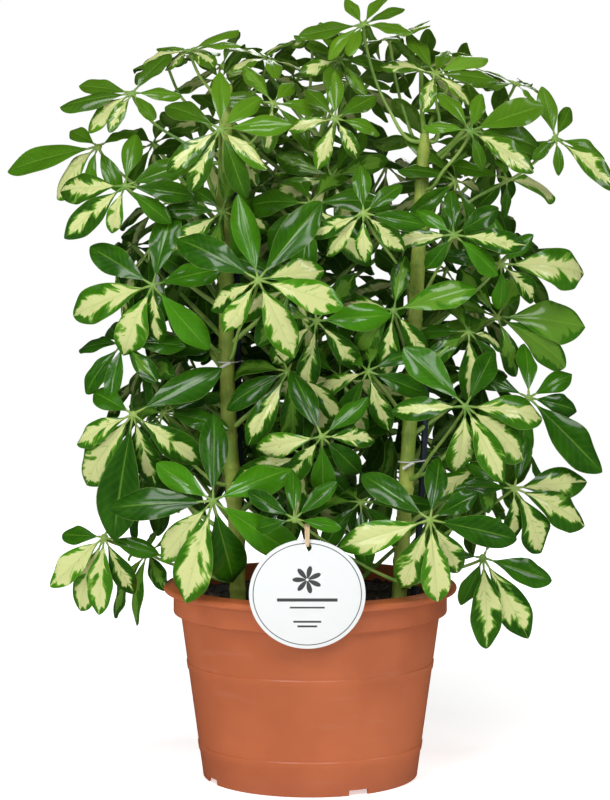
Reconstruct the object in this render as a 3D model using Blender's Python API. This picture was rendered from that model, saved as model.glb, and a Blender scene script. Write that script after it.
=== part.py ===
"""Potted variegated umbrella plant: a plastic nursery pot, soil, three stems, stakes and ties, a hang
tag on its loop, and one compound leaf per node. Metres, +Z up, the origin at the centre of the pot's
base, -Y the front."""

import itertools
import math
import random

import bmesh
import bpy
from mathutils import Matrix, Vector
from mathutils.bvhtree import BVHTree

MM = 0.001
GAP = 0.45  # clearance kept between neighbouring pieces

# Pot, all in millimetres
POT_SEGMENTS = 40
LIP_RADIUS = 120.0
COLLAR_RADIUS = 112.0
NECK_RADIUS = 106.0
FOOT_RADIUS = 88.0
WALL = 2.0
POT_HEIGHT = 160.0
LIP_BOTTOM = 152.0
LIP_SIDE = (154.0, 158.0)  # heights of the lip's upright edge
LIP_ROUNDING = 2.0
COLLAR_BOTTOM = 136.0
NECK_HEIGHT = 133.0
FLOOR_UNDERSIDE = 5.0
BAND_HEIGHTS = ((22.0, 29.0), (89.0, 96.0))
BAND_DEPTH = 0.7
BAND_EDGE = 1.0
PAD_RADIUS = 18.0
PAD_SLOPE = 2.0
NOTCH_WIDTH = 17.0
NOTCH_HEIGHT = 4.5
NOTCH_DEPTH = 8.0
NOTCHES = 4
NOTCH_FIRST_ANGLE = -64.0  # degrees from +X, the notches are a quarter turn apart

# Soil
SOIL_TOP = 146.0
SOIL_SEGMENTS = 28
SOIL_RINGS = (0.0, 20.0, 42.0, 64.0, 84.0)
SOIL_LUMP = 1.12
SHOULDER_RISE = 3.0  # of the soil over the inside step of the collar
SOIL_CLEARANCE = 0.5  # from the pot's facets, besides the gap

# Stems and stakes, each a route of points with one radius per point
STEM_SOCKET = 30.0  # depth that a stem or a stake is set into the soil
STEMS = {
    "left": (
        ((-58, -28, 116), (-60, -26, 205), (-66, -22, 300), (-68, -18, 420), (-68, -14, 530), (-66, -10, 563)),
        (6.6, 6.3, 6.2, 6.0, 5.2, 3.4),
    ),
    "right": (
        ((69, -50, 116), (74, -44, 200), (82, -30, 330), (87, -20, 430), (91, -12, 506), (92, -10, 524)),
        (6.4, 6.0, 5.8, 5.7, 5.3, 3.4),
    ),
    "middle": (
        ((6, 14, 116), (2, 16, 200), (-4, 18, 300), (0, 24, 400), (6, 30, 500), (8, 32, 520)),
        (4.2, 3.9, 3.6, 3.3, 2.8, 2.2),
    ),
}
STAKES = {
    "left": (((-55, -12, 116), (-59, -6, 330), (-61, -1, 490)), 3.2),
    "right": (((80, -33, 116), (88.5, -28, 215), (95, -18, 345)), 2.6),
}
STEM_SIDES = 8
STAKE_SIDES = 8

# Ties, each round one stem and its stake
TIE_HEIGHTS = {"left": 341.0, "right": 262.0}
TIE_WIRE = 0.8
TIE_SIDES = 4
TIE_STEPS = 6  # round each half turn
TIE_SLACK = 0.3

# Hang tag and its loop
TAG_RADIUS = 45.0
TAG_THICKNESS = 0.8
TAG_CENTRE = (-2.3, -123.6, 168.0)
TAG_LEAN = 12.0  # degrees, its lower edge towards the pot
TAG_HOLE_RADIUS = 3.4
TAG_HOLE_UP = 38.6
TAG_HOLE_SEGMENTS = 16
TAG_SEGMENTS = 32
LOOP_HALF_WIDTH = 1.6
LOOP_THICKNESS = 0.6
LOOP_STEPS = 20
LOOP_DEPTH = 4.0  # half the loop, front to back
LOOP_SQUARENESS = 0.6
LOOP_SLACK = 2.4
LOOP_IN_HOLE = 0.6
LOOP_FLARE = 0.25  # share by which the strip widens from its middle to its upper end

# Compound leaves
PETIOLE_RADIUS = 1.3
HUB_RADIUS = 3.6
HUB_SLOT = 11.0  # most degrees from a leaflet's centre line to its edge, at the hub
SLOT_SHARE = 0.42  # of the gap to the next leaflet, where leaflets stand close
HUB_HEIGHT = 1.2
HUB_DEPTH = 2.8
STALK_WIDTH = 2.6
BLADE_WIDTH = 0.40  # of a leaflet's length
HANG_ALLOWANCE = 1.06  # a curved leaflet is this much longer than it reaches
KEEL = 1.0
EDGE_LIFT = 0.9
STATIONS = ((0.13, None), (0.33, 0.66), (0.60, 1.0), (0.86, 0.74))  # share of the length, share of the width

# How a leaflet leaves the hub, in degrees: more drooped where the rosette looks up, and less where the
# leaflet hangs; neighbours differ, as they do round a real rosette
DROOP = 4.0
DROOP_FACING_UP = 10.0
DROOP_ALTERNATE = 7.0
DROOP_HANGING = -6.0
DROOP_SPREAD = 5.0
CURL = 18.0
CURL_HANGING = -8.0
CURL_SPREAD = (-8.0, 14.0)
WIDTH_SPREAD = (0.93, 1.07)
# Where a leaflet meets a neighbour it is tried drooped, turned and then shorter
TRY_SIZES = (1.0, 0.9, 0.8, 0.68, 0.55)
TRY_DROOPS = (0, 9, -9, 18, -16, 28, -24, 38)
TRY_TURNS = (0, 4, -4)
# Where a petiole meets a neighbour it is tried up or down the stem, then round it
TRY_RISES = (0, 7, -7, 14, -14, 22, -22, 30)
TRY_SWINGS = (0, 25, -25, 50, -50, 70, -70)
PETIOLE_BOW = 6.0
PETIOLE_DROP = 24.0  # the stem end of a petiole is this far under its hub, and more for a long one
PETIOLE_SLOPE = 0.42
PETIOLE_MARGIN = 0.2  # kept round a petiole when its neighbours are placed
STEM_TIP_MARGIN = 6.0
BARE_STEM = 18.0  # above the soil

# Rosettes ahead of the front limit turn towards the front, those above the crown start tip upwards
FRONT_LIMIT = 85.0
FRONT_BLEND = 95.0
CROWN_START = 490.0
CROWN_BLEND = 100.0
OUTWARD = 0.20
OUTWARD_BACK = 0.58
UPWARD = 0.30
UPWARD_BACK = 0.30
UPWARD_CROWN = 0.85
CROWN_LIFT = 26.0  # degrees that young leaflets are held up at the top of the plant

# Hub x, y, z, the stem it grows from, then each leaflet's direction round the face of the rosette, in
# degrees from the right, with its length
LEAVES = {
    "leaf_01": (-75, -120, 240, "left", (90, 66), (27, 66), (-32, 82), (-76, 88), (-108, 85), (-136, 68), (182, 76), (146, 52)),
    "leaf_02": (92, -124, 226, "right", (78, 52), (142, 62), (196, 67), (-112, 62), (-83, 67), (-56, 58), (-10, 72), (30, 44)),
    "leaf_03": (120, -106, 312, "right", (132, 62), (60, 56), (-2, 70), (-33, 72), (-60, 62), (-97, 56), (180, 54)),
    "leaf_04": (-40, -114, 410, "left", (148, 72), (102, 66), (52, 74), (14, 54), (-14, 64), (-62, 66), (-125, 48), (202, 50)),
    "leaf_05": (-124, -62, 404, "left", (80, 60), (22, 54), (148, 60), (192, 84), (-120, 64), (-90, 48), (-48, 62)),
    "leaf_06": (-140, -62, 302, "left", (32, 72), (150, 46), (202, 54), (-134, 82), (-102, 96), (-76, 64), (-34, 62)),
    "leaf_07": (-70, -77, 526, "left", (90, 48), (48, 44), (8, 50), (-40, 42), (-68, 52), (-118, 50), (-145, 48), (144, 56)),
    "leaf_08": (20, -42, 535, "middle", (186, 34), (-112, 38), (-60, 32), (124, 38), (90, 38), (40, 40), (-10, 34)),
    "leaf_09": (41, -97, 461, "right", (94, 36), (42, 36), (-8, 44), (-38, 42), (-90, 36), (-138, 44), (200, 42)),
    "leaf_10": (112, -74, 444, "right", (182, 44), (-130, 34), (-4, 56), (28, 46), (-34, 50), (90, 34), (140, 34)),
    "leaf_11": (126, -52, 525, "right", (116, 42), (70, 34), (24, 62), (0, 64), (-26, 56), (-70, 28), (164, 34)),
    "leaf_12": (196, -22, 520, "right", (96, 42), (60, 36), (-36, 60), (-8, 46), (-136, 48), (190, 40), (-84, 26)),
    "leaf_13": (160, 24, 488, "right", (2, 78), (-150, 34), (150, 52), (-96, 28), (62, 34)),
    "leaf_14": (168, 32, 566, "right", (108, 34), (18, 34), (-20, 36), (170, 28), (-100, 26)),
    "leaf_15": (100, -8, 572, "right", (106, 44), (62, 34), (22, 46), (-6, 46), (158, 40), (-112, 34), (-50, 34)),
    "leaf_16": (64, 30, 602, "right", (70, 34), (10, 42), (-30, 36), (170, 42), (-120, 34), (120, 32)),
    "leaf_17": (42, -12, 611, "right", (66, 32), (30, 32), (-18, 40), (196, 46), (-100, 34), (-136, 36), (122, 28)),
    "leaf_18": (-34, 30, 586, "left", (100, 36), (50, 36), (4, 40), (180, 40), (-128, 38), (-60, 36), (140, 34)),
    "leaf_19": (-30, -22, 548, "left", (116, 38), (52, 34), (-4, 40), (-44, 44), (-100, 38), (168, 40)),
    "leaf_20": (-98, 20, 592, "left", (62, 42), (166, 36), (14, 40), (-30, 38), (-90, 32), (200, 38)),
    "leaf_21": (-142, -22, 556, "left", (60, 44), (164, 46), (190, 54), (-148, 44), (-112, 34), (6, 34), (-50, 30)),
    "leaf_22": (-172, 8, 514, "left", (190, 80), (214, 58), (148, 38), (46, 32), (-56, 38), (-108, 34)),
    "leaf_23": (-146, -58, 482, "left", (84, 42), (26, 50), (0, 50), (-36, 42), (-146, 62), (180, 66), (-112, 38)),
    "leaf_24": (-166, -32, 200, "left", (-142, 60), (-120, 76), (-96, 58), (-64, 50), (-14, 40), (174, 44), (70, 40)),
    "leaf_25": (-134, 28, 180, "left", (176, 44), (-134, 70), (-98, 58), (-42, 40), (122, 36), (56, 38)),
    "leaf_26": (163, -42, 241, "right", (-20, 78), (8, 74), (-56, 66), (-84, 42), (174, 42), (146, 40), (70, 42)),
    "leaf_27": (137, -64, 188, "right", (-16, 60), (-56, 74), (-82, 68), (-112, 40), (170, 34), (60, 36)),
    "leaf_28": (152, -34, 420, "right", (2, 96), (-34, 48), (94, 36), (-84, 36), (166, 40), (40, 38)),
    "leaf_29": (152, 2, 376, "right", (2, 98), (-22, 84), (-160, 56), (150, 54), (114, 48), (54, 48), (-70, 46)),
    "leaf_30": (66, -56, 384, "right", (-98, 54), (-52, 48), (18, 62), (80, 40), (168, 44), (-136, 46)),
    "leaf_31": (9, -92, 287, "middle", (188, 56), (-130, 46), (-88, 50), (-40, 44), (2, 42), (42, 44), (112, 56)),
    "leaf_32": (24, -34, 330, "middle", (140, 56), (90, 50), (36, 56), (-14, 52), (-64, 52), (-116, 52), (190, 50)),
    "leaf_33": (176, -22, 312, "right", (-42, 82), (-8, 52), (28, 50), (84, 46), (150, 50), (-96, 54), (200, 46)),
    "leaf_34": (-12, -136, 228, "right", (150, 40), (96, 40), (44, 38), (192, 32), (-8, 32)),
    "leaf_35": (0, 42, 602, "middle", (124, 42), (80, 38), (30, 42), (-20, 44), (190, 44), (-120, 40), (-70, 38)),
    "leaf_36": (-120, 58, 586, "left", (150, 46), (100, 38), (50, 42), (0, 46), (196, 46), (-110, 42)),
    "leaf_37": (5, -62, 376, "middle", (100, 52), (52, 50), (4, 54), (-44, 54), (-100, 58), (-142, 52), (160, 50)),
    "leaf_38": (-105, 52, 350, "left", (92, 62), (40, 60), (-10, 64), (-66, 66), (-122, 66), (174, 66)),
    "leaf_39": (-86, 42, 290, "left", (110, 60), (58, 58), (6, 60), (-46, 62), (-100, 64), (-156, 62)),
    "leaf_40": (178, 50, 268, "right", (80, 56), (28, 60), (-22, 62), (-74, 64), (-130, 60), (150, 56)),
    "leaf_41": (32, 112, 570, "middle", (90, 50), (36, 52), (-20, 54), (-80, 54), (-140, 54), (156, 52)),
    "leaf_42": (-28, 84, 508, "middle", (70, 54), (14, 56), (-44, 58), (-104, 58), (-160, 56), (126, 54)),
    "leaf_43": (66, 150, 500, "middle", (96, 56), (40, 56), (-16, 60), (-74, 60), (-134, 60), (160, 58)),
    "leaf_44": (-72, 160, 425, "middle", (80, 60), (26, 62), (-30, 64), (-88, 66), (-146, 64), (140, 62)),
    "leaf_45": (118, 152, 410, "right", (104, 60), (48, 62), (-8, 64), (-66, 66), (-124, 64), (174, 62)),
    "leaf_46": (10, 178, 355, "middle", (84, 60), (28, 62), (-28, 64), (-86, 66), (-144, 64), (142, 62)),
    "leaf_47": (-34, 158, 262, "middle", (96, 58), (40, 60), (-18, 62), (-76, 62), (-134, 62), (158, 60)),
    "leaf_48": (92, 150, 268, "right", (76, 60), (20, 62), (-36, 62), (-94, 62), (-150, 62), (132, 60)),
}
TAG_LEAF = "leaf_34"
TAG_LEAF_ROUTE = ((78.0, -58.0, 163.0), (46.0, -98.0, 184.0), (-2.3, -131.6, 219.6))
PETIOLE_STEPS = 3
PETIOLE_SIDES = 6
HUB_SIDES = 8

TERRACOTTA = (0.45, 0.13, 0.06)
PEAT = (0.03, 0.02, 0.015)
BARK = (0.30, 0.34, 0.10)
STAKE_BLACK = (0.02, 0.03, 0.05)
TIE_WHITE = (0.7, 0.7, 0.66)
CARD_WHITE = (0.85, 0.86, 0.84)
RAFFIA = (0.55, 0.42, 0.25)
LEAF_GREEN = (0.05, 0.20, 0.02)


def clear_scene():
    for found in list(bpy.data.objects):
        bpy.data.objects.remove(found, do_unlink=True)


def add_node(name, points, faces, colour, roughness):
    """One closed mesh, given in millimetres, as an object with a plain Principled material."""
    mesh = bpy.data.meshes.new(name)
    mesh.from_pydata([tuple(c * MM for c in point) for point in points], [], faces)
    shell = bmesh.new()
    shell.from_mesh(mesh)
    bmesh.ops.recalc_face_normals(shell, faces=shell.faces)
    shell.to_mesh(mesh)
    shell.free()
    material = bpy.data.materials.new(name)
    material.use_nodes = True
    bsdf = material.node_tree.nodes["Principled BSDF"]
    bsdf.inputs["Base Color"].default_value = (*colour, 1.0)
    bsdf.inputs["Roughness"].default_value = roughness
    mesh.materials.append(material)
    obj = bpy.data.objects.new(name, mesh)
    bpy.context.scene.collection.objects.link(obj)
    return obj


def lathe(profile, segments):
    """Points and faces of a closed profile of (radius, height) turned about Z. Radius 0 is a pole."""
    points, rings = [], []
    for radius, height in profile:
        if radius == 0:
            rings.append([len(points)] * segments)
            points.append((0.0, 0.0, height))
            continue
        rings.append(list(range(len(points), len(points) + segments)))
        for k in range(segments):
            turn = 2 * math.pi * k / segments
            points.append((radius * math.cos(turn), radius * math.sin(turn), height))
    faces = []
    for ring, above in zip(rings, rings[1:]):
        for k in range(segments):
            nxt = (k + 1) % segments
            face = [ring[k], ring[nxt], above[nxt], above[k]]
            faces.append([v for i, v in enumerate(face) if v != face[i - 1]])
    return points, faces


def cut(obj, points, faces):
    """Takes one closed shape out of the object."""
    tool = add_node("cutter", points, faces, (0, 0, 0), 0.5)
    modifier = obj.modifiers.new("cut", "BOOLEAN")
    modifier.operation = "DIFFERENCE"
    modifier.solver = "EXACT"
    modifier.object = tool
    graph = bpy.context.evaluated_depsgraph_get()
    shape = bpy.data.meshes.new_from_object(obj.evaluated_get(graph))
    obj.modifiers.clear()
    obj.data = shape
    bpy.data.objects.remove(tool, do_unlink=True)


def box_shape(centre, size, turn):
    """A box standing on its own axes, turned about Z round the origin."""
    spin = Matrix.Rotation(turn, 3, "Z")
    points = [
        tuple(spin @ Vector([c + s * k / 2 for c, s, k in zip(centre, size, signs)]))
        for signs in ((x, y, z) for x in (-1, 1) for y in (-1, 1) for z in (-1, 1))
    ]
    return points, [[0, 1, 3, 2], [4, 6, 7, 5], [0, 4, 5, 1], [2, 3, 7, 6], [0, 2, 6, 4], [1, 5, 7, 3]]


def wall_radius(height):
    """Outside radius of the tapered wall below the collar."""
    return FOOT_RADIUS + (NECK_RADIUS - FOOT_RADIUS) * height / NECK_HEIGHT


def make_pot():
    outer = [(FOOT_RADIUS, 0.0)]
    for low, high in BAND_HEIGHTS:
        start, end = low + BAND_EDGE, high - BAND_EDGE
        outer += [(wall_radius(low), low), (wall_radius(start) + BAND_DEPTH, start)]
        outer += [(wall_radius(end) + BAND_DEPTH, end), (wall_radius(high), high)]
    outer += [(NECK_RADIUS, NECK_HEIGHT), (COLLAR_RADIUS, COLLAR_BOTTOM), (COLLAR_RADIUS, LIP_BOTTOM)]
    outer += [(LIP_RADIUS - LIP_ROUNDING / 2, LIP_BOTTOM), (LIP_RADIUS, LIP_SIDE[0]), (LIP_RADIUS, LIP_SIDE[1])]
    outer += [(LIP_RADIUS - LIP_ROUNDING, POT_HEIGHT)]
    inner = [(COLLAR_RADIUS - WALL, POT_HEIGHT), (COLLAR_RADIUS - WALL, COLLAR_BOTTOM + 1)]
    inner += [(NECK_RADIUS - WALL, NECK_HEIGHT), (wall_radius(FLOOR_UNDERSIDE) - WALL, FLOOR_UNDERSIDE + WALL)]
    under = [(0, 0.0), (PAD_RADIUS, 0.0), (PAD_RADIUS + PAD_SLOPE, FLOOR_UNDERSIDE)]
    under += [(FOOT_RADIUS - WALL, FLOOR_UNDERSIDE), (FOOT_RADIUS - WALL, 0.0)]
    profile = under + outer + inner + [(0, FLOOR_UNDERSIDE + WALL)]
    pot = add_node("pot", *lathe(profile, POT_SEGMENTS), TERRACOTTA, 0.5)
    for k in range(NOTCHES):
        turn = math.radians(NOTCH_FIRST_ANGLE + 360 * k / NOTCHES)
        cut(pot, *box_shape((FOOT_RADIUS, 0, 0), (NOTCH_DEPTH, NOTCH_WIDTH, 2 * NOTCH_HEIGHT), turn))
    return pot


def soil_height(x, y):
    """The uneven surface of the peat, hand-filled and a little higher round the stems."""
    waves = math.sin(0.09 * x + 0.4) * math.cos(0.075 * y) + 0.6 * math.sin(0.17 * x - 0.13 * y)
    return SOIL_TOP + SOIL_LUMP * waves


def make_soil(holes):
    bottom = FLOOR_UNDERSIDE + WALL + GAP
    room = WALL + GAP + SOIL_CLEARANCE
    base, neck, rim = wall_radius(bottom) - room, NECK_RADIUS - room, COLLAR_RADIUS - room
    profile = [(0, bottom), (base, bottom), (neck, NECK_HEIGHT + GAP), (rim, COLLAR_BOTTOM + SHOULDER_RISE)]
    rings = [(radius, SOIL_TOP) for radius in (rim, *reversed(SOIL_RINGS))]
    points, faces = lathe(profile + rings, SOIL_SEGMENTS)
    points = [
        (x, y, soil_height(x, y) if z == SOIL_TOP else z) for x, y, z in points
    ]
    soil = add_node("soil", points, faces, PEAT, 0.95)
    for route, radius in holes:
        foot, above = Vector(route[0]), Vector(route[1])
        axis = (above - foot).normalized()
        ends = (foot - axis * GAP, foot + axis * 2 * STEM_SOCKET)
        cut(soil, *tube(ends, [radius + GAP] * 2, STEM_SIDES))
    return soil


def tube(route, radii, sides, twist=0.0):
    """A closed round bar along a route of points."""
    route = [Vector(p) for p in route]
    points, faces = [], []
    side = None
    for k, (centre, radius) in enumerate(zip(route, radii)):
        ahead = (route[min(k + 1, len(route) - 1)] - route[max(k - 1, 0)]).normalized()
        if side is None:
            side = ahead.orthogonal().normalized()
        side = (side - ahead * side.dot(ahead)).normalized()
        other = ahead.cross(side)
        for i in range(sides):
            turn = 2 * math.pi * i / sides + twist
            points.append(centre + radius * (math.cos(turn) * side + math.sin(turn) * other))
    for k in range(len(route) - 1):
        for i in range(sides):
            j = (i + 1) % sides
            faces.append([k * sides + i, k * sides + j, (k + 1) * sides + j, (k + 1) * sides + i])
    faces.append(list(range(sides))[::-1])
    last = (len(route) - 1) * sides
    faces.append([last + i for i in range(sides)])
    return [tuple(p) for p in points], faces


def ring_bar(route, sections):
    """A closed band along a closed route: one list of section points per route point."""
    sides = len(sections[0])
    points = [tuple(p) for section in sections for p in section]
    count = len(route)
    faces = []
    for k in range(count):
        nxt = (k + 1) % count
        for i in range(sides):
            j = (i + 1) % sides
            faces.append([k * sides + i, k * sides + j, nxt * sides + j, nxt * sides + i])
    return points, faces


def along(route, height):
    """The point of a route at a height."""
    route = [Vector(p) for p in route]
    for low, high in zip(route, route[1:]):
        if height <= high.z:
            return low.lerp(high, (height - low.z) / (high.z - low.z))
    return route[-1]


def make_tie(name, stem, stem_radius, stake, stake_radius, height):
    """A loop of coated wire round the stem and its stake."""
    a, b = along(stem, height), along(stake, height)
    span = (b - a).normalized()
    across = Vector((-span.y, span.x, 0)).normalized()
    reach = TIE_WIRE + GAP + TIE_SLACK
    path = []
    for centre, radius, start in ((a, stem_radius, 90), (b, stake_radius, -90)):
        for step in range(TIE_STEPS + 1):
            turn = math.radians(start + 180 * step / TIE_STEPS)
            arm = math.cos(turn) * span + math.sin(turn) * across
            path.append(centre + (radius + reach) * arm)
    sections = []
    for k, centre in enumerate(path):
        ahead = (path[(k + 1) % len(path)] - path[k - 1]).normalized()
        out = ahead.cross(Vector((0, 0, 1))).normalized()
        lift = out.cross(ahead)
        sections.append([
            centre + TIE_WIRE * (math.cos(t) * out + math.sin(t) * lift)
            for t in (2 * math.pi * i / TIE_SIDES for i in range(TIE_SIDES))
        ])
    return add_node(name, *ring_bar(path, sections), TIE_WHITE, 0.5)


def tag_frame():
    """Centre of the tag, and its direction up the face and out of the face."""
    lean = math.radians(TAG_LEAN)
    up = Vector((0, -math.sin(lean), math.cos(lean)))
    out = Vector((0, -math.cos(lean), -math.sin(lean)))
    return Vector(TAG_CENTRE), up, out


def make_tag():
    centre, up, out = tag_frame()
    half = out * TAG_THICKNESS / 2
    disc = tube((centre - half, centre + half), [TAG_RADIUS] * 2, TAG_SEGMENTS)
    tag = add_node("tag", *disc, CARD_WHITE, 0.4)
    hole = centre + up * TAG_HOLE_UP
    cut(tag, *tube((hole - half * 4, hole + half * 4), [TAG_HOLE_RADIUS] * 2, TAG_HOLE_SEGMENTS))
    return tag


def make_tag_loop():
    """A flat strip closed on itself, through the tag's hole and over the petiole."""
    centre, up, _ = tag_frame()
    low = centre + up * (TAG_HOLE_UP + LOOP_IN_HOLE)
    high = Vector(TAG_LEAF_ROUTE[-1]) + Vector((0, 0, PETIOLE_RADIUS + GAP + LOOP_SLACK))
    middle, half = (low + high) / 2, (high - low).length / 2
    rise = (high - low).normalized()
    depth = rise.cross(Vector((1, 0, 0))).normalized()
    route, sections = [], []
    for k in range(LOOP_STEPS):
        turn = 2 * math.pi * k / LOOP_STEPS
        across = math.copysign(abs(math.cos(turn)) ** LOOP_SQUARENESS, math.cos(turn)) * LOOP_DEPTH
        route.append(middle + across * depth + math.sin(turn) * rise * half)
    for k, point in enumerate(route):
        ahead = (route[(k + 1) % LOOP_STEPS] - route[k - 1]).normalized()
        width = LOOP_HALF_WIDTH * (1 + LOOP_FLARE * (1 + (point - middle).dot(rise) / half))
        side, normal = Vector((width, 0, 0)), ahead.cross(Vector((1, 0, 0))) * LOOP_THICKNESS / 2
        sections.append([point - side - normal, point + side - normal, point + side + normal, point - side + normal])
    return add_node("tag_loop", *ring_bar(route, sections), RAFFIA, 0.8)


class Crowd:
    """Every shape placed so far, to see whether one more would meet any of them."""

    def __init__(self):
        self.shapes = []

    def add(self, points, faces, owner):
        points = [Vector(p) for p in points]
        low = [min(p[i] for p in points) for i in range(3)]
        high = [max(p[i] for p in points) for i in range(3)]
        self.shapes.append((low, high, BVHTree.FromPolygons(points, faces), owner))

    def meets(self, points, faces, skip=None, only=None):
        points = [Vector(p) for p in points]
        low = [min(p[i] for p in points) for i in range(3)]
        high = [max(p[i] for p in points) for i in range(3)]
        tree = None
        for other_low, other_high, other, owner in self.shapes:
            if owner == skip or only not in (None, owner):
                continue
            if any(low[i] > other_high[i] or high[i] < other_low[i] for i in range(3)):
                continue
            tree = tree or BVHTree.FromPolygons(points, faces)
            if tree.overlap(other):
                return True
        return False


def mesh_shape(obj):
    return [tuple(v.co / MM) for v in obj.data.vertices], [list(f.vertices) for f in obj.data.polygons]


def crown_share(hub):
    """How far a rosette belongs to the crown, from 0 below it to 1 at the top."""
    return min(max((hub.z - CROWN_START) / CROWN_BLEND, 0), 1)


def facing(hub, stem):
    """The way a rosette faces: out from its stem, up, and round towards the light at the front."""
    out = Vector((hub.x - stem.x, hub.y - stem.y, 0)).normalized()
    front = min(max((FRONT_LIMIT - hub.y) / FRONT_BLEND, 0), 1)
    crown = crown_share(hub)
    back = 1 - front
    level = out * (OUTWARD + OUTWARD_BACK * back) + Vector((0, -1, 0)) * front
    return (level + Vector((0, 0, UPWARD + UPWARD_BACK * back + UPWARD_CROWN * crown))).normalized()


def petiole_route(hub, normal, foot, out, bow):
    """Points from the hub down to the stem: leaves the rosette along its axis and arches to the stem."""
    reach = (hub - foot).length
    top = hub - normal * HUB_DEPTH
    near_hub = top - normal * reach * 0.28 + Vector((0, 0, -0.06 * reach))
    near_stem = foot + out * reach * 0.24 + Vector((0, 0, reach * 0.20)) + bow
    route = []
    for k in range(PETIOLE_STEPS + 1):
        t = k / PETIOLE_STEPS
        route.append(
            top * (1 - t) ** 3 + near_hub * 3 * t * (1 - t) ** 2 + near_stem * 3 * t * t * (1 - t) + foot * t**3
        )
    return route


def place_petiole(name, hub, stem_name, crowd, dice):
    """The way a leaf faces and the route of its petiole, clear of everything placed before it."""
    route, radii = STEMS[stem_name]
    span = math.hypot(hub.x - route[3][0], hub.y - route[3][1])
    height = min(max(hub.z - PETIOLE_DROP - PETIOLE_SLOPE * span, SOIL_TOP + BARE_STEM), route[-1][2] - STEM_TIP_MARGIN)
    normal = facing(hub, along(route, height))
    if name == TAG_LEAF:
        bend = [hub - normal * HUB_DEPTH] + [Vector(p) for p in reversed(TAG_LEAF_ROUTE)]
        return normal, bend
    for swing, rise in itertools.product(TRY_SWINGS, TRY_RISES):
        level = min(height + rise, route[-1][2] - 2)
        stem = along(route, max(level, SOIL_TOP + BARE_STEM))
        out = Vector((hub.x - stem.x, hub.y - stem.y, 0)).normalized()
        out = Matrix.Rotation(math.radians(swing), 3, "Z") @ out
        foot = stem + out * (max(radii) + PETIOLE_RADIUS * 0.8 + GAP)
        bow = Vector((dice.uniform(-PETIOLE_BOW, PETIOLE_BOW), dice.uniform(-PETIOLE_BOW, PETIOLE_BOW), 0))
        found = petiole_route(hub, normal, foot, out, bow)
        radius = PETIOLE_RADIUS + GAP
        body = tube([hub + normal * 2, *found], [HUB_RADIUS + 1, 2.4] + [radius] * PETIOLE_STEPS, PETIOLE_SIDES)
        if not crowd.meets(*body):
            return normal, found
    raise ValueError("no room for the petiole of " + name)


def leaflet_sections(hub, normal, radial, length, width, pitch, curl, grow):
    """Three-point sections of one leaflet, from its stalk to its tip: left edge, right edge, keel."""
    side = normal.cross(radial)
    point = hub + radial * HUB_RADIUS
    sections, before = [], 0.0
    for part, breadth in STATIONS:
        angle = pitch + curl * (part + before) / 2
        ahead = radial * math.cos(angle) - normal * math.sin(angle)
        point = point + ahead * length * (part - before)
        lift = radial * math.sin(angle) + normal * math.cos(angle)
        half = (STALK_WIDTH if breadth is None else width * breadth) / 2 + grow
        edge = point + lift * (EDGE_LIFT + grow)
        sections.append([edge + side * half, edge - side * half, point - lift * (KEEL + grow)])
        before = part
    angle = pitch + curl
    ahead = radial * math.cos(angle) - normal * math.sin(angle)
    return sections, point + ahead * (length * (1 - before) + grow)


def root_section(hub, normal, radial, grow):
    """The section where a leaflet's stalk leaves the hub."""
    side = normal.cross(radial) * (HUB_RADIUS * math.sin(math.radians(HUB_SLOT)) + grow)
    edge, keel = hub + radial * HUB_RADIUS, hub + radial * PETIOLE_RADIUS
    return [edge + side + normal * grow, edge - side + normal * grow, keel - normal * (HUB_DEPTH + grow)]


def sections_shape(sections, tip):
    """A closed shape through the sections, for trying a leaflet against its neighbours."""
    points = [p for section in sections for p in section] + [tip]
    faces = [[0, 1, 2]]
    for k in range(len(sections) - 1):
        for i in range(3):
            j = (i + 1) % 3
            faces.append([3 * k + i, 3 * k + j, 3 * k + 3 + j])
            faces.append([3 * k + i, 3 * k + 3 + j, 3 * k + 3 + i])
    last = 3 * (len(sections) - 1)
    for i in range(3):
        faces.append([last + i, last + (i + 1) % 3, len(points) - 1])
    return points, faces


def rosette_axes(normal):
    """Directions to the right and up the face of a rosette, seen from its front."""
    right = Vector((0, 0, 1)).cross(normal)
    right = right.normalized() if right.length > 0.05 else Vector((1, 0, 0))
    return right, normal.cross(right)


def place_leaflets(hub, normal, fingers, crowd, dice, name):
    """The leaflets of one rosette that fit: (turn, sections, tip) each, in order round the hub."""
    right, up = rosette_axes(normal)
    found = []
    for k, (degrees, reach) in enumerate(fingers):
        angle = math.radians(degrees)
        hang = right.z * math.cos(angle) + up.z * math.sin(angle)
        size = reach * HANG_ALLOWANCE
        width = size * BLADE_WIDTH * dice.uniform(*WIDTH_SPREAD)
        droop = DROOP + DROOP_FACING_UP * normal.z + DROOP_ALTERNATE * (k % 2) + DROOP_HANGING * hang
        droop += dice.uniform(-DROOP_SPREAD, DROOP_SPREAD) - CROWN_LIFT * crown_share(hub)
        curl = math.radians(CURL + CURL_HANGING * hang + dice.uniform(*CURL_SPREAD))
        for scale, tilt, yaw in itertools.product(TRY_SIZES, TRY_DROOPS, TRY_TURNS):
            way = angle + math.radians(yaw)
            radial = right * math.cos(way) + up * math.sin(way)
            pitch = math.radians(droop + tilt)
            shape = (hub, normal, radial, size * scale, width * scale, pitch, curl)
            sections, tip = leaflet_sections(*shape, GAP)
            root = root_section(hub, normal, radial, GAP)
            own = crowd.meets(*sections_shape(sections, tip), only=name)
            if own or crowd.meets(*sections_shape([root, *sections], tip), skip=name):
                continue
            sections, tip = leaflet_sections(*shape, 0.0)
            root = root_section(hub, normal, radial, 0.0)
            crowd.add(*sections_shape([root, *sections], tip), name)
            found.append((way, sections, tip))
            break
    return sorted(found, key=lambda leaflet: leaflet[0] % (2 * math.pi))


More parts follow.
